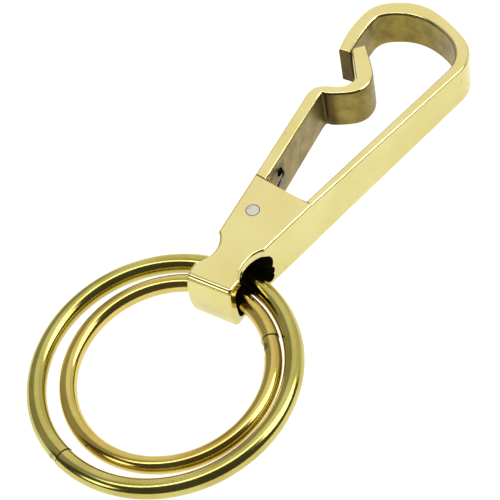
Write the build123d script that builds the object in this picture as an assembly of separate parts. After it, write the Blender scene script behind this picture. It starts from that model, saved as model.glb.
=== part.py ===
from build123d import *
import math
import os

# Snap-hook key clip with two wire rings. Millimetres, +Z up: the clip lies on its back at z = 0,
# +Y runs along it from the ring loop to the top of the hook, and +X is the spine's side.

# ---- clip: driving dimensions ----
CLIP_T = 8.5            # thickness over the pivot housing
TAPER_START_Y = 18.0    # above this the hook and gate get thinner
TAPER = 0.0435          # fall of the front face per mm of length; the back stays flat
SPINE_INSET = 0.10      # the faces of spine and gate lie this much inside the cheeks' faces
CHEEK_T = 1.2           # wall of each cheek
EDGE_R = 0.4            # polished rounding of the outer edges
SPINE_SLOPE = 0.2325    # the spine leans outwards, in plan: its outer side, then its inner side
SPINE_INNER_SLOPE = 0.2145

LOOP_BOTTOM_Y = -2.1    # lowest point of the ring loop
LOOP_ARC_RISE = 0.7     # how far its arched bottom rises at each face
LOOP_EDGE_R = 1.0       # rounding where the bottom meets each face
LOOP_WALL = 1.3         # thickness of the loop below the passage
PASSAGE_LOW_Z, PASSAGE_HIGH_Z = 0.85, 7.2   # the ring passage, across the clip
PASSAGE_TOP_Y = 8.15    # its upper end, in three scallops left by the drill
PASSAGE_SIDE_Y = 6.5    # where the scallops start, at the passage's front wall
PASSAGE_CUSP_Z = (3.6, 2.0)     # the cusps between the scallops
PASSAGE_CUSP_DEPTH = 0.35
PASSAGE_CORNER_R = 1.2
PASSAGE_ARC_RISE = 0.35     # the floor of the passage is arched too

PIN_X, PIN_Y = 0.85, 12.5
PIN_R = 1.0
PIN_CLEAR = 0.04        # radial running clearance of the gate's bore on the pin
HEEL_R = 3.0            # round heel of the gate, between the cheeks
HEEL_CLEAR = 0.2
TANG_CLEAR = 0.1        # gap from the gate's tang to each cheek
COIL_SLOT = 3.2         # width of the slot in the heel that holds the spring
COIL_SLOT_Y = (8.9, 18.6)   # its lower and upper ends
COIL_CLEAR = 0.3        # gap from the coil to the slot's left wall
GATE_GAP = 0.16         # gap between the cheeks' top edge and the full-thickness gate

SPRING_WIRE_R = 0.27
SPRING_COIL_R = 1.6     # mean radius
SPRING_PITCH = 0.6
SPRING_START_DEG = 120.0        # the coil's first end, and its last after the whole turns
SPRING_END_DEG = 13.8 + 4 * 360.0
GATE_HOLE_R = 0.75      # blind hole in the gate's inner side, for the spring's leg
GATE_HOLE_X, GATE_HOLE_Y, GATE_HOLE_Z = -1.0, 22.2, 5.5
GATE_HOLE_LENGTH = 1.8

# ---- rings: driving dimensions ----
SEAM_GAP = 0.09         # between the two ends of a ring's wire
RINGS = [
    # slope: rise along +Y; bank: rise along +X; off_deg and off_mm: the wire's last stretch is
    # bent inwards a little, so its end misses the other end by off_mm
    dict(name="large_ring", centre_r=18.45, wire_r=1.42, loop=(0.7, 4.65), slope=2.6, bank=2.5,
         seam_deg=-108.9, off_deg=24.0, off_mm=0.11),
    dict(name="small_ring", centre_r=14.75, wire_r=1.28, loop=(1.36, 1.35), slope=4.0, bank=3.0,
         seam_deg=42.9, off_deg=24.0, off_mm=0.14),
]
NICK_DEG, NICK_R, NICK_DEPTH = -111.9, 0.5, 0.3     # nick outside the large ring, by its seam
FLAT_DEG, FLAT_LENGTH, FLAT_DEPTH = 36.5, 2.6, 0.15     # flat inside the small ring, by its seam

MID_Z = CLIP_T / 2
HOOK_FOOT_Y = 16.0      # the spine starts here, inside the housing
POCKET_LOW_Z, POCKET_HIGH_Z = CHEEK_T, CLIP_T - CHEEK_T
END_Y = 62.0            # beyond the top of the hook
ORIGIN_X, ORIGIN_Y = 0.736, 12.896
REACH = 60.0            # length of cutting blanks, beyond the whole part


def spine_x(y):
    """The spine's straight outer side, in plan."""
    return 8.26 + SPINE_SLOPE * (y - 17.05)


def spine_inner_x(y):
    """The spine's straight inner side, in plan."""
    return 7.1 + SPINE_INNER_SLOPE * (y - 17.4)


def face_of(*edges):
    return make_face(Wire(list(edges)))


def raise_plan(face, low=0.0, high=CLIP_T):
    return Pos(0, 0, low) * extrude(face, amount=high - low, dir=(0, 0, 1))


def across(face):
    """A profile drawn as (y, z), extruded along X right through the clip."""
    solid = extrude(face, amount=REACH, dir=(0, 0, 1))
    return Plane(origin=(-REACH / 2, 0, 0), x_dir=(0, 1, 0), z_dir=(1, 0, 0)) * solid


def cylinder_at(x, y, radius, low=-REACH, high=REACH):
    return Pos(x, y, (low + high) / 2) * Cylinder(radius, high - low)


# ------------------------------------------------------------------ clip body


def housing_blank():
    """Side profile of the housing: parallel faces and an arched, rounded loop end."""
    low_y = LOOP_BOTTOM_Y + LOOP_ARC_RISE
    face = face_of(
        ThreePointArc((low_y, CLIP_T), (LOOP_BOTTOM_Y, MID_Z), (low_y, 0)),
        Line((low_y, 0), (END_Y, 0)),
        Line((END_Y, 0), (END_Y, CLIP_T)),
        Line((END_Y, CLIP_T), (low_y, CLIP_T)),
    )
    corners = [v for v in face.vertices() if v.X < low_y + 0.01]
    return across(fillet(corners, LOOP_EDGE_R))


def tapered_blank():
    """Side profile of the hook and gate: a flat back, and a front that falls towards the top."""
    foot_z = CLIP_T - SPINE_INSET + TAPER * (TAPER_START_Y - HOOK_FOOT_Y)
    end_z = CLIP_T - SPINE_INSET - TAPER * (END_Y - TAPER_START_Y)
    return across(face_of(
        Line((HOOK_FOOT_Y, SPINE_INSET), (END_Y, SPINE_INSET)),
        Line((END_Y, SPINE_INSET), (END_Y, end_z)),
        Line((END_Y, end_z), (HOOK_FOOT_Y, foot_z)),
        Line((HOOK_FOOT_Y, foot_z), (HOOK_FOOT_Y, SPINE_INSET)),
    ))


def housing_plan():
    """The cheeks in plan: ring loop, waist, and the pivot housing up to its top edge."""
    left, right = -2.1, 5.2
    foot_y = LOOP_BOTTOM_Y - 1
    return face_of(
        Line((left, foot_y), (left, 1.1)),
        ThreePointArc((left, 1.1), (-0.6, 4.4), (-1.85, 7.2)),
        Line((-1.85, 7.2), (-2.2, 18.36)),
        ThreePointArc((-2.2, 18.36), (3.2, 17.5), (spine_x(16.9), 16.9)),
        Line((spine_x(16.9), 16.9), (spine_x(7.0), 7.0)),
        ThreePointArc((spine_x(7.0), 7.0), (4.47, 3.9), (right + 0.15, 0.9)),
        Line((right + 0.15, 0.9), (right, -0.4)),
        Line((right, -0.4), (right, foot_y)),
        Line((right, foot_y), (left, foot_y)),
    )


def arc_chain(start, tangent, points):
    """Arcs through the points in turn, each leaving along the one before it."""
    arcs, here, heading = [], start, Vector(*tangent)
    for point in points:
        arcs.append(TangentArc(here, point, tangent=heading))
        here, heading = point, arcs[-1] % 1
    return arcs


def hook_plan():
    """The spine and hook in plan, from inside the housing to the end of the nose."""
    foot_y, bend_out_y, bend_in_y = HOOK_FOOT_Y, 49.0, 48.5
    outer_foot = (spine_x(foot_y), foot_y)
    inner_foot = (spine_inner_x(foot_y), foot_y)
    outer_bend = (spine_x(bend_out_y), bend_out_y)
    inner_bend = (spine_inner_x(bend_in_y), bend_in_y)
    outer_nose, inner_nose = (-3.22, 45.7), (-1.37, 45.75)
    outer = arc_chain(outer_bend, (SPINE_SLOPE, 1), [
        (15.42, 52.7), (13.0, 55.75), (6.75, 58.95), (1.75, 59.1), (-1.4, 57.55), (-3.5, 54.2),
        outer_nose])
    inner = arc_chain(inner_bend, (SPINE_INNER_SLOPE, 1), [
        (13.4, 51.9), (10.8, 54.85), (6.8, 56.55), (2.4, 56.45), (-0.1, 55.3), (-1.5, 52.9),
        inner_nose])
    return face_of(
        Line(outer_foot, outer_bend),
        *outer,
        Line(outer_nose, inner_nose),
        *inner,
        Line(inner_bend, inner_foot),
        Line(inner_foot, outer_foot),
    )


def round_faces(solid, radius, wanted=lambda middle: True):
    """Round the edges round the upper and lower faces of a blank."""
    edges = [
        e
        for face in solid.faces() if abs(face.normal_at().Z) > 0.9
        for e in face.edges() if wanted(e @ 0.5)
    ]
    return fillet(edges, radius)


def passage():
    """The ring passage, right through across the clip, ending in three drilled scallops."""
    low_y = LOOP_BOTTOM_Y + LOOP_WALL + PASSAGE_ARC_RISE
    mid_z = (PASSAGE_LOW_Z + PASSAGE_HIGH_Z) / 2
    cusp_y = PASSAGE_TOP_Y - PASSAGE_CUSP_DEPTH
    high_cusp, low_cusp = PASSAGE_CUSP_Z
    last_y = cusp_y - 1.1
    face = face_of(
        ThreePointArc((low_y, PASSAGE_HIGH_Z), (low_y - PASSAGE_ARC_RISE, mid_z),
                      (low_y, PASSAGE_LOW_Z)),
        Line((low_y, PASSAGE_LOW_Z), (last_y, PASSAGE_LOW_Z)),
        ThreePointArc((last_y, PASSAGE_LOW_Z), (cusp_y, PASSAGE_LOW_Z + 0.4), (cusp_y, low_cusp)),
        ThreePointArc((cusp_y, low_cusp), (PASSAGE_TOP_Y, (low_cusp + high_cusp) / 2),
                      (cusp_y, high_cusp)),
        ThreePointArc((cusp_y, high_cusp), (PASSAGE_TOP_Y - 0.15, high_cusp + 2.0),
                      (PASSAGE_SIDE_Y, PASSAGE_HIGH_Z)),
        Line((PASSAGE_SIDE_Y, PASSAGE_HIGH_Z), (low_y, PASSAGE_HIGH_Z)),
    )
    corners = [v for v in face.vertices() if v.X < low_y + 0.01]
    return across(fillet(corners, PASSAGE_CORNER_R))


def pocket():
    """The gap between the cheeks, open at the left and at the top, round below the heel."""
    r = HEEL_R + HEEL_CLEAR
    left, top = PIN_X - r - 2, 20.0
    face = face_of(
        Line((left, PIN_Y), (left, top)),
        Line((left, top), (6.7, top)),
        Line((6.7, top), (6.2, 17.0)),
        Line((6.2, 17.0), (PIN_X + r, PIN_Y)),
        ThreePointArc((PIN_X + r, PIN_Y), (PIN_X, PIN_Y - r), (PIN_X - r, PIN_Y)),
        Line((PIN_X - r, PIN_Y), (left, PIN_Y)),
    )
    return raise_plan(face, POCKET_LOW_Z, POCKET_HIGH_Z)


def make_clip_body():
    housing = raise_plan(housing_plan()) & housing_blank()
    hook = raise_plan(hook_plan(), -1, CLIP_T + 1) & tapered_blank()
    housing = round_faces(housing, EDGE_R, lambda p: p.Y < 17.2)
    hook = round_faces(hook, EDGE_R, lambda p: p.Y > HOOK_FOOT_Y + 0.1)
    body = housing + hook
    return body - pocket() - passage() - cylinder_at(PIN_X, PIN_Y, PIN_R)


# ------------------------------------------------------------------ clip gate


def gate_plan():
    """The gate in plan above the housing: a straight bar, an S-shaped thumb notch, and the tip."""
    outer_foot, inner_foot = (-2.17, 17.6), (-0.28, 17.6)
    notch_start, notch_end = (-3.2, 35.45), (1.2, 42.5)
    nose_stop, nose_side, nose_tip = (-1.33, 46.25), (-1.33, 46.9), (0.0, 48.35)
    tip, crease = (3.0, 44.75), (-1.22, 34.75)

    def heading(start, end):
        return Vector(*end) - Vector(*start)

    return face_of(
        Line(outer_foot, notch_start),
        Spline(notch_start, (-2.86, 37.15), (-0.9, 38.5), (1.37, 39.7), (1.96, 41.1), notch_end,
               tangents=[heading(outer_foot, notch_start), heading(notch_end, nose_stop)]),
        Line(notch_end, nose_stop),
        Line(nose_stop, nose_side),
        Line(nose_side, nose_tip),
        Line(nose_tip, tip),
        Spline(tip, (4.3, 42.1), (4.0, 39.95), (1.4, 37.65), (-0.75, 36.8), crease,
               tangents=[heading(nose_tip, tip), heading(crease, inner_foot)]),
        Line(crease, inner_foot),
        Line(inner_foot, outer_foot),
    )


def tang_plan():
    """The gate between the cheeks: the bar's lower end running into the round heel."""
    top = 20.0
    heel_left = PIN_X - HEEL_R
    return face_of(
        Line((heel_left, PIN_Y), (-2.2, top)),
        Line((-2.2, top), (-0.36, top)),
        Line((-0.36, top), (-0.3, 18.0)),
        Spline((-0.3, 18.0), (0.35, 16.2), (PIN_X + HEEL_R * 0.75, PIN_Y + HEEL_R * 0.6614),
               tangents=[(0.03, -1), (0.9, -0.5)]),
        ThreePointArc((PIN_X + HEEL_R * 0.75, PIN_Y + HEEL_R * 0.6614), (PIN_X, PIN_Y - HEEL_R),
                      (heel_left, PIN_Y)),
    )


def make_clip_gate():
    above = face_of(
        ThreePointArc((-5, 18.6 + GATE_GAP), (3.2, 17.5 + GATE_GAP), (12, 16.4 + GATE_GAP)),
        Line((12, 16.4 + GATE_GAP), (12, END_Y)),
        Line((12, END_Y), (-5, END_Y)),
        Line((-5, END_Y), (-5, 18.6 + GATE_GAP)),
    )
    bar = raise_plan(gate_plan(), -1, CLIP_T + 1) & tapered_blank()
    bar = round_faces(bar, EDGE_R * 0.9, lambda p: p.Y > 18.0)
    bar = bar & raise_plan(above, -1, CLIP_T + 1)
    tang = raise_plan(tang_plan(), POCKET_LOW_Z + TANG_CLEAR, POCKET_HIGH_Z - TANG_CLEAR)
    gate = bar + tang
    slot_left = PIN_X - SPRING_COIL_R - SPRING_WIRE_R - COIL_CLEAR
    slot_right = PIN_X + 2 * HEEL_R
    slot_low, slot_high = COIL_SLOT_Y
    slot = Pos((slot_left + slot_right) / 2, (slot_low + slot_high) / 2, MID_Z) * Box(
        slot_right - slot_left, slot_high - slot_low, COIL_SLOT)
    hole = Pos(GATE_HOLE_X, GATE_HOLE_Y, GATE_HOLE_Z) * Rot(0, 90, 0) * Cylinder(
        GATE_HOLE_R, GATE_HOLE_LENGTH)
    return gate - slot - hole - cylinder_at(PIN_X, PIN_Y, PIN_R + PIN_CLEAR)


# ------------------------------------------------------------------ springs


def wire_along(points, radius):
    """A round wire swept along a smooth curve through the points."""
    path = Spline(*points)
    section = Plane(origin=path @ 0, z_dir=path % 0) * Circle(radius)
    return sweep(section, path=path)


def make_clip_gate_spring():
    """Torsion coil round the pivot pin: one leg on the housing's wall, one in the gate's hole."""
    start_deg, end_deg = SPRING_START_DEG, SPRING_END_DEG
    height = SPRING_PITCH * (end_deg - start_deg) / 360.0
    low_z = MID_Z - height / 2

    def coil(deg):
        a = math.radians(deg)
        z = low_z + height * (deg - start_deg) / (end_deg - start_deg)
        return (PIN_X + SPRING_COIL_R * math.cos(a), PIN_Y + SPRING_COIL_R * math.sin(a), z)

    fixed = []
    first, a = coil(start_deg), math.radians(start_deg)
    for step in (4.6, 3.4, 2.2, 1.0):
        fixed.append((first[0] + step * math.sin(a), first[1] - step * math.cos(a), first[2]))
    count = 46
    turns = [coil(start_deg + (end_deg - start_deg) * i / count) for i in range(count + 1)]
    last, a = turns[-1], math.radians(end_deg)
    leg = []
    length = GATE_HOLE_Y - last[1] - 1.0
    for share in (0.2, 0.45, 0.7, 0.93):
        leg.append((last[0] - share * length * math.tan(a), last[1] + share * length,
                    last[2] + share * (GATE_HOLE_Z - last[2])))
    bend = [(0.25, GATE_HOLE_Y - 0.15, GATE_HOLE_Z), (-0.2, GATE_HOLE_Y + 0.25, GATE_HOLE_Z),
            (-1.0, GATE_HOLE_Y + 0.2, GATE_HOLE_Z)]
    return wire_along(fixed + turns + leg + bend, SPRING_WIRE_R)


# ------------------------------------------------------------------ rings


def ring_plane(spec):
    """The plane of a ring at rest: it hangs in the passage, and its far side lies on the table."""
    slope, bank = math.radians(spec["slope"]), math.radians(spec["bank"])
    right = Vector(math.cos(bank), 0, math.sin(bank))
    normal = right.cross(Vector(0, math.cos(slope), math.sin(slope))).normalized()
    towards_loop = normal.cross(right)
    radius = spec["centre_r"]
    centre_z = spec["wire_r"] + radius * math.sqrt(1 - normal.Z ** 2)
    x, y = spec["loop"]
    centre = Vector(x, y, 0) - towards_loop * radius
    return Plane(origin=(centre.X, centre.Y, centre_z), x_dir=right, z_dir=normal)


def make_ring(spec):
    """A ring of round wire whose ends nearly meet, the last one bent inwards a little."""
    radius, wire_r = spec["centre_r"], spec["wire_r"]
    half_gap = math.degrees(SEAM_GAP / 2 / radius)
    start = spec["seam_deg"] + half_gap
    turn = spec["off_deg"] - half_gap
    bend_at = spec["seam_deg"] + 360 - spec["off_deg"]
    length = radius * math.radians(spec["off_deg"])
    tight_r = 1 / (1 / radius + 2 * spec["off_mm"] / length ** 2)
    shift = radius - tight_r
    tight_turn = turn + math.degrees(math.asin(shift / tight_r * math.sin(math.radians(turn))))
    tight_centre = (shift * math.cos(math.radians(bend_at)),
                    shift * math.sin(math.radians(bend_at)))
    path = Wire([
        CenterArc((0, 0), radius, start, bend_at - start),
        CenterArc(tight_centre, tight_r, bend_at, tight_turn),
    ])
    section = Plane(origin=path @ 0, z_dir=path % 0) * Circle(wire_r)
    return sweep(section, path=path)


def nick(spec):
    """Cutter for the small round nick in the outer side of the large ring."""
    away = spec["centre_r"] + spec["wire_r"] - NICK_DEPTH + NICK_R
    return Rot(0, 0, NICK_DEG) * Pos(away, 0, 0) * Cylinder(NICK_R, 2 * spec["wire_r"])


def inner_flat(spec):
    """Cutter for the pressed flat on the inner side of the small ring."""
    depth = spec["wire_r"]
    away = spec["centre_r"] - spec["wire_r"] + FLAT_DEPTH - depth / 2
    return Rot(0, 0, FLAT_DEG) * Pos(away, 0, 0) * Box(depth, FLAT_LENGTH, 2 * depth)


# ------------------------------------------------------------------ all nodes

parts = {
    "clip_body": make_clip_body(),
    "clip_gate": make_clip_gate(),
    "clip_pivot_pin": cylinder_at(PIN_X, PIN_Y, PIN_R, 0, CLIP_T),
    "clip_gate_spring": make_clip_gate_spring(),
}
for ring, plier_mark in zip(RINGS, (nick, inner_flat)):
    parts[ring["name"]] = ring_plane(ring) * (make_ring(ring) - plier_mark(ring))

# The origin is below the middle of the whole, in plan.
to_origin = Pos(-ORIGIN_X, -ORIGIN_Y, 0)

os.makedirs("parts", exist_ok=True)
for node, shape in parts.items():
    export_step(to_origin * shape, f"parts/{node}.step")
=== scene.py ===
import math

import bpy
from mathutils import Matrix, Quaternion, Vector


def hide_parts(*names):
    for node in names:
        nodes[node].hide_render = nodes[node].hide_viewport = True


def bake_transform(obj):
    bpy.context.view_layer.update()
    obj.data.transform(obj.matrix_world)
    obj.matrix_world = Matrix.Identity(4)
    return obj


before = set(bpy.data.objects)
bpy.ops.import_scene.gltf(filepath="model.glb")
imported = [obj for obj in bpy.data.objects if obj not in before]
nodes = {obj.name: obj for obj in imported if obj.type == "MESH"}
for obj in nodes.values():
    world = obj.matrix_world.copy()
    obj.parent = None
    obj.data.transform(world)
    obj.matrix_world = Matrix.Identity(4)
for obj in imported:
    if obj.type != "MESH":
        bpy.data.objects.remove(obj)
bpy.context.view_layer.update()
scene = bpy.context.scene

# Places on the clip, in millimetres from its own datum.
PLAN_ORIGIN = (0.736, 12.896, 0)    # the frame's origin
PIN = (0.85, 12.5)                  # the pivot pin's axis, in x and y
SPRING_HOLE = (22.2, 5.5)           # the axis of the gate's drilled hole, in y and z
CREASE = (-0.5, 37.1)               # the tight bend where the gate's bulge starts, in x and y


# ---------------------------------------------------------------- node helpers


class Tree:
    """Makes shader nodes. An input is a number, a colour or vector, or another node's output."""

    def __init__(self, tree):
        self.tree = tree
        tree.nodes.clear()

    def node(self, kind, inputs=None, **settings):
        made = self.tree.nodes.new(kind)
        for key, value in settings.items():
            setattr(made, key, value)
        for key, value in (inputs or {}).items():
            self.put(made.inputs[key], value)
        return made

    def put(self, socket, value):
        if isinstance(value, bpy.types.NodeSocket):
            self.tree.links.new(value, socket)
        else:
            socket.default_value = value

    def math(self, operation, a, b=0.0):
        return self.node("ShaderNodeMath", operation=operation, inputs={0: a, 1: b}).outputs[0]

    def step(self, value, low, high):
        """0 below low and 1 above high, smooth between them; low may be above high."""
        falls = low > high
        made = self.node("ShaderNodeMapRange", interpolation_type="SMOOTHSTEP", inputs={
            "Value": value, "From Min": min(low, high), "From Max": max(low, high),
            "To Min": 1.0 if falls else 0.0, "To Max": 0.0 if falls else 1.0})
        return made.outputs["Result"]

    def mix(self, factor, a, b):
        """A colour between a and b."""
        made = self.node("ShaderNodeMix", data_type="RGBA", inputs={0: factor, 6: a, 7: b})
        return made.outputs[2]

    def lerp(self, factor, a, b):
        """A number between a and b."""
        made = self.node("ShaderNodeMix", data_type="FLOAT", inputs={0: factor, 2: a, 3: b})
        return made.outputs[0]

    def split(self, vector):
        made = self.node("ShaderNodeSeparateXYZ", inputs={0: vector})
        return made.outputs[0], made.outputs[1], made.outputs[2]

    def noise(self, place, scale, detail=2.0, rough=0.5, stretch=(1, 1, 1), turn=(0, 0, 0)):
        mapped = self.node("ShaderNodeMapping", inputs={
            "Vector": place, "Scale": stretch, "Rotation": turn}).outputs[0]
        made = self.node("ShaderNodeTexNoise", inputs={
            "Vector": mapped, "Scale": scale, "Detail": detail, "Roughness": rough})
        return made.outputs["Fac"]


def rgb(r, g, b):
    """A colour given as it looks on screen, 0 to 255."""
    def linear(v):
        v /= 255
        return v / 12.92 if v <= 0.04045 else ((v + 0.055) / 1.055) ** 2.4
    return (linear(r), linear(g), linear(b), 1.0)


# ---------------------------------------------------------------- stage


def make_world():
    """A light tent with three lamps for the metal to reflect. The camera sees it as plain white.

    The tent is white at the back, a little dim at the right, dimmer at the left and nearly dark on
    the camera's side.
    """
    world = bpy.data.worlds.new("light_tent")
    world.use_nodes = True
    scene.world = world
    t = Tree(world.node_tree)
    way = t.node("ShaderNodeTexCoord").outputs["Generated"]

    def along(direction):
        return t.node("ShaderNodeVectorMath", operation="DOT_PRODUCT", inputs={
            0: way, 1: Vector(direction).normalized()}).outputs["Value"]

    def lamp(direction, outer, inner):
        """1 within inner degrees of a direction, 0 beyond outer."""
        return t.step(along(direction), math.cos(math.radians(outer)), math.cos(math.radians(inner)))

    back, right, up = along((-0.64, 0.77, 0)), along((0.77, 0.64, 0)), along((0, 0, 1))
    from_strip = t.math("ABSOLUTE", t.math("SUBTRACT", back, 0.02))
    overhead_strip = t.math("MULTIPLY", t.step(from_strip, 0.14, 0.08), t.step(up, 0.80, 0.90))

    level = 1.0
    for where, brightness in (
            (t.step(right, -0.12, -0.30), 0.40),
            (t.step(right, 0.40, 0.60), 0.78),
            (t.step(back, 0.20, 0.06), 0.08),
            (overhead_strip, 3.4),
            (lamp((0.58, 0.38, 0.72), 20, 14), 4.0),
            (lamp((-0.39, -0.8, 0.42), 12, 8), 2.5)):
        level = t.lerp(where, level, brightness)

    tent = t.node("ShaderNodeBackground", inputs={"Color": level, "Strength": 1.0})
    plain = t.node("ShaderNodeBackground", inputs={"Color": (1, 1, 1, 1), "Strength": 1.0})
    seen = t.node("ShaderNodeLightPath").outputs["Is Camera Ray"]
    both = t.node("ShaderNodeMixShader", inputs={0: seen, 1: tent.outputs[0], 2: plain.outputs[0]})
    t.node("ShaderNodeOutputWorld", inputs={0: both.outputs[0]})


def make_floor():
    half, below_clip = 1.5, 0.00005
    mesh = bpy.data.meshes.new("floor")
    mesh.from_pydata([(-half, -half, 0), (half, -half, 0), (half, half, 0), (-half, half, 0)],
                     [], [(0, 1, 2, 3)])
    floor = bpy.data.objects.new("floor", mesh)
    scene.collection.objects.link(floor)
    floor.location.z = -below_clip
    material = bpy.data.materials.new("white_acrylic")
    material.use_nodes = True
    t = Tree(material.node_tree)
    glow = t.node("ShaderNodeBsdfPrincipled", inputs={
        "Base Color": (0.3, 0.3, 0.3, 1), "Roughness": 0.9,
        "Emission Color": (1, 1, 1, 1), "Emission Strength": 0.95})
    t.node("ShaderNodeOutputMaterial", inputs={0: glow.outputs[0]})
    mesh.materials.append(material)


def make_camera():
    azimuth, elevation, roll = (math.radians(a) for a in (39.9, 52.5, 12.42))
    target, distance = Vector((0.0011, -0.00409, 0.004)), 0.28814
    back = Vector((math.sin(azimuth) * math.cos(elevation),
                   -math.cos(azimuth) * math.cos(elevation), math.sin(elevation)))
    data = bpy.data.cameras.new("camera")
    data.sensor_width, data.lens = 36.0, 144.0
    data.clip_start, data.clip_end = 0.01, 20
    camera = bpy.data.objects.new("camera", data)
    scene.collection.objects.link(camera)
    camera.location = target + back * distance
    camera.rotation_mode = "QUATERNION"
    camera.rotation_quaternion = (-back).to_track_quat("-Z", "Y") @ Quaternion((0, 0, 1), -roll)
    scene.camera = camera


# ---------------------------------------------------------------- materials


class Metal(Tree):
    """A polished metal's shader tree, with the place in millimetres and the normal to mask by."""

    def __init__(self, name):
        self.material = bpy.data.materials.new(name)
        self.material.use_nodes = True
        super().__init__(self.material.node_tree)
        texture = self.node("ShaderNodeTexCoord")
        self.place = texture.outputs["Object"]
        shifted = self.node("ShaderNodeVectorMath", operation="MULTIPLY_ADD", inputs={
            0: self.place, 1: (1000, 1000, 1000), 2: PLAN_ORIGIN}).outputs[0]
        self.x, self.y, self.z = self.split(shifted)
        self.nx, self.ny, self.nz = self.split(texture.outputs["Normal"])

    def size(self, value):
        return self.math("ABSOLUTE", value)

    def between(self, value, low, high, soft):
        return self.all(self.step(value, low - soft, low + soft),
                        self.step(value, high + soft, high - soft))

    def all(self, *masks):
        whole = masks[0]
        for mask in masks[1:]:
            whole = self.math("MULTIPLY", whole, mask)
        return whole

    def any(self, *masks):
        whole = masks[0]
        for mask in masks[1:]:
            whole = self.math("MAXIMUM", whole, mask)
        return whole

    def near(self, a, b, centre_a, centre_b, inner, outer):
        """1 within inner of a line through the part, 0 beyond outer, in millimetres."""
        da, db = self.math("SUBTRACT", a, centre_a), self.math("SUBTRACT", b, centre_b)
        squared = self.math("ADD", self.math("MULTIPLY", da, da), self.math("MULTIPLY", db, db))
        return self.step(self.math("SQRT", squared), outer, inner)

    def patchy(self, pattern, colour, deep):
        """A colour that drifts to a deeper one where a noise pattern is high."""
        return self.mix(self.step(pattern, 0.35, 0.7), colour, deep)

    def scratches(self, turn):
        """Fine straight polishing scratches, only some of them deep enough to see."""
        lines = self.noise(self.place, 2600.0, 2.0, stretch=(1, 0.02, 1), turn=(0, 0, turn))
        return self.step(lines, 0.60, 0.72)

    def pits(self):
        """Small pits, in loose groups."""
        speck = self.step(self.noise(self.place, 1500.0, 1.0), 0.70, 0.78)
        group = self.step(self.noise(self.place, 130.0, 2.0), 0.50, 0.62)
        return self.all(speck, group)

    def finish(self, colour, rough, heights):
        """Heights are (value, depth in millimetres) pairs, laid one over another as bumps."""
        shader = self.node("ShaderNodeBsdfPrincipled", inputs={
            "Base Color": colour, "Metallic": 1.0, "Roughness": rough})
        normal = None
        for value, depth in heights:
            bump = self.node("ShaderNodeBump", inputs={
                "Strength": 1.0, "Distance": depth / 1000, "Height": value})
            if normal is not None:
                self.put(bump.inputs["Normal"], normal)
            normal = bump.outputs[0]
        self.put(shader.inputs["Normal"], normal)
        self.node("ShaderNodeOutputMaterial", inputs={0: shader.outputs[0]})
        return self.material


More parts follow.
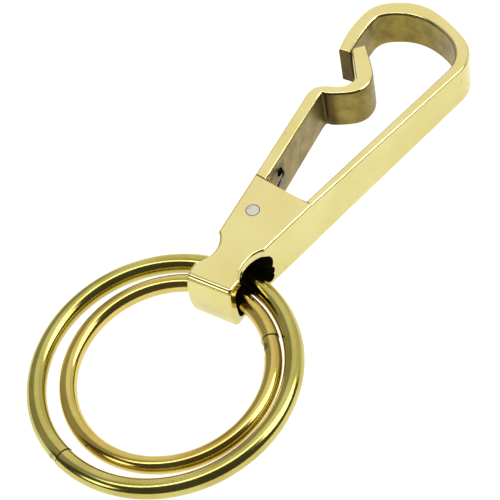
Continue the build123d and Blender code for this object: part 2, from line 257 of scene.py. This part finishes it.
def clip_brass():
    m = Metal("clip_brass")
    pits = m.pits()
    cloud, stain = m.noise(m.place, 110.0, 3.0), m.noise(m.place, 420.0, 5.0, 0.65)
    # Painted light: the flat front and back faces are painted lighter than the sides, as if more light
    # falls on them; both drift in tone at random.
    lit_faces = m.patchy(cloud, rgb(233, 220, 154), rgb(228, 212, 140))
    shaded_sides = m.patchy(cloud, rgb(217, 207, 139), rgb(210, 198, 124))
    colour = m.mix(m.step(m.size(m.nz), 0.65, 0.45), lit_faces, shaded_sides)
    colour = m.mix(m.all(pits, 0.7), colour, rgb(120, 98, 42))

    # The sides that face the hook's eye are left satin and stained as cast; their dark olive colour is
    # painted shade and dim reflection inside the hook.
    to_eye = m.math("ADD", m.math("MULTIPLY", m.nx, m.math("SUBTRACT", 6.0, m.x)),
                    m.math("MULTIPLY", m.ny, m.math("SUBTRACT", 42.0, m.y)))
    off_gate = m.math("SUBTRACT", m.math("MULTIPLY", m.nx, 0.8), m.math("MULTIPLY", m.ny, 0.6))
    by_gate = m.all(m.step(m.x, 6.0, 5.4), m.step(m.y, 48.6, 48.2))
    facing = m.lerp(by_gate, m.step(to_eye, 0.4, 1.4), m.step(off_gate, 0.10, 0.30))
    inner = m.all(facing, m.step(m.size(m.nz), 0.75, 0.45), m.step(m.y, 18.6, 19.6))
    inner_shade_colour = m.mix(m.step(stain, 0.30, 0.74), rgb(142, 123, 50), rgb(98, 79, 28))
    colour = m.mix(m.all(inner, 0.9), colour, inner_shade_colour)

    # Darker with dirt round the drilled hole; painted shade in the crease of the notch and painted
    # shadow of the gate's tip on the end of the nose.
    round_hole = m.all(m.near(m.y, m.z, 22.3, 5.6, 0.7, 1.9), m.step(m.x, 3.0, 2.0), 0.75)
    colour = m.mix(m.all(round_hole, inner), colour, rgb(66, 52, 22))
    crease_shade = m.all(m.near(m.x, m.y, *CREASE, 0.4, 1.9), m.step(m.size(m.nz), 0.9, 0.6))
    nose_end_shadow = m.all(m.step(m.ny, -0.75, -0.95), m.step(m.x, 1.5, 0.5),
                     m.between(m.y, 44.5, 46.6, 0.3))
    colour = m.mix(m.all(m.any(crease_shade, nose_end_shadow), 0.8), colour, rgb(58, 46, 18))

    # Painted shade, nearly black, inside the rings' passage, the gate's pocket and the drilled hole;
    # these are also rough where no polish reaches.
    passage = m.all(m.step(m.size(m.nx), 0.5, 0.25), m.between(m.y, -1.0, 8.6, 0.1),
                    m.between(m.z, 0.70, 7.35, 0.08))
    from_spine = m.math("SUBTRACT", m.x, m.math("MULTIPLY", m.y, 0.2325))
    pocket = m.all(m.step(m.x, -2.0, -1.8), m.step(from_spine, 3.6, 3.4),
                   m.between(m.y, 9.1, 17.2, 0.15), m.between(m.z, 1.10, 7.42, 0.06))
    hole = m.all(m.near(m.y, m.z, *SPRING_HOLE, 0.70, 0.76), m.between(m.x, -2.1, 4.0, 0.1))
    shaded_unpolished = m.any(passage, pocket, hole)
    colour = m.mix(shaded_unpolished, colour, rgb(38, 30, 12))

    # Dirt in the line round the pin, and painted shadow of the step at the cheek's curved end on the
    # spine, across the gate and on the gate's foot.
    rim = m.all(m.near(m.x, m.y, *PIN, 1.03, 1.09), m.step(m.size(m.nz), 0.8, 0.95))
    bend = m.math("MULTIPLY", m.x, m.math("SUBTRACT", m.math("MULTIPLY", m.x, 0.0025), 0.1605))
    past_cheek = m.math("SUBTRACT", m.math("SUBTRACT", m.y, 18.0), bend)
    on_spine = m.all(m.between(past_cheek, -0.06, 0.14, 0.05), m.between(m.x, 6.5, 7.8, 0.4))
    on_gate = m.all(m.between(past_cheek, 0.06, 0.30, 0.05), m.step(m.x, 1.5, 1.0))
    cheek_end_shadow = m.all(m.any(on_spine, on_gate), m.step(m.nz, 0.5, 0.9))
    gate_foot_shadow = m.all(m.between(past_cheek, 0.0, 0.3, 0.05), m.step(m.ny, -0.4, -0.8))
    colour = m.mix(m.all(m.any(rim, cheek_end_shadow, gate_foot_shadow), 0.9), colour, rgb(30, 24, 10))

    rough = m.lerp(m.noise(m.place, 260.0, 3.0), 0.07, 0.15)
    rough = m.lerp(inner, rough, m.lerp(stain, 0.26, 0.42))
    rough = m.lerp(shaded_unpolished, rough, 0.7)
    return m.finish(colour, rough, (
        (m.noise(m.place, 70.0, 1.0), 0.030), (m.scratches(0.5), 0.0012), (pits, -0.02),
        (m.all(stain, inner), 0.05)))


def wire_brass(name, colour, deep, wave, seam, mark):
    """Ring wire. seam is a place and the wire's heading there in degrees; mark is a dented place.

    wave is how far the wire's surface wavers, in millimetres.
    """
    m = Metal(name)
    pits = m.pits()
    tint = m.patchy(m.noise(m.place, 160.0, 3.0), colour, deep)
    tint = m.mix(m.all(pits, 0.5), tint, rgb(110, 90, 40))
    x, y, heading = seam
    along = m.math("ADD",
                   m.math("MULTIPLY", m.math("SUBTRACT", m.x, x), math.cos(math.radians(heading))),
                   m.math("MULTIPLY", m.math("SUBTRACT", m.y, y), math.sin(math.radians(heading))))
    gap = m.all(m.step(m.size(along), 0.16, 0.08), m.near(m.x, m.y, x, y, 2.0, 2.6))
    tint = m.mix(m.all(gap, 0.9), tint, rgb(46, 36, 12))
    tint = m.mix(m.all(m.near(m.x, m.y, *mark, 0.35, 0.8), 0.7), tint, rgb(84, 78, 62))
    rough = m.lerp(m.noise(m.place, 300.0, 3.0), 0.09, 0.17)
    return m.finish(tint, rough, (
        (m.noise(m.place, 120.0, 2.0), wave), (m.scratches(0.2), 0.0012), (pits, -0.012)))


def steel(name, colour, deep, low, high):
    """Drawn steel, with a dark rim at the edge of the pin's ends. Its roughness is low to high."""
    m = Metal(name)
    drawn = m.noise(m.place, 900.0, 4.0)
    rim = m.all(m.math("SUBTRACT", 1.0, m.near(m.x, m.y, *PIN, 0.90, 0.97)),
                m.step(m.size(m.nz), 0.8, 0.95))
    tint = m.patchy(drawn, colour, deep)
    tint = m.mix(m.all(rim, 0.8), tint, rgb(60, 52, 40))
    return m.finish(tint, m.lerp(drawn, low, high), ((drawn, 0.004),))


# ---------------------------------------------------------------- pieces


def paint(piece, material):
    piece.data.materials.clear()
    piece.data.materials.append(material)


def make_bending_spring():
    """The gate's spring, as one copy of the clip's spring mesh that takes the original's place."""
    node = nodes["clip_gate_spring"]
    spring = bpy.data.objects.new("clip_gate_spring_wire", node.data.copy())
    scene.collection.objects.link(spring)
    spring.matrix_world = node.matrix_world.copy()
    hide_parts("clip_gate_spring")
    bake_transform(spring)
    return spring


body_brass = clip_brass()
paint(nodes["clip_body"], body_brass)
paint(nodes["clip_gate"], body_brass)
paint(nodes["clip_pivot_pin"],
      steel("pin_steel", rgb(219, 217, 207), rgb(202, 200, 190), 0.25, 0.45))
paint(make_bending_spring(),
      steel("spring_steel", rgb(150, 150, 152), rgb(120, 118, 114), 0.2, 0.4))
paint(nodes["large_ring"],
      wire_brass("ring_brass", rgb(197, 187, 106), rgb(184, 170, 88), wave=0.035,
                 seam=(-5.23, -31.22, -18.9), mark=(-6.75, -32.40)))
paint(nodes["small_ring"],
      wire_brass("small_ring_brass", rgb(212, 191, 107), rgb(200, 172, 86), wave=0.028,
                 seam=(12.19, -3.35, 132.9), mark=(12.33, -5.27)))

make_world()
make_floor()
make_camera()
scene.view_settings.view_transform = "Standard"
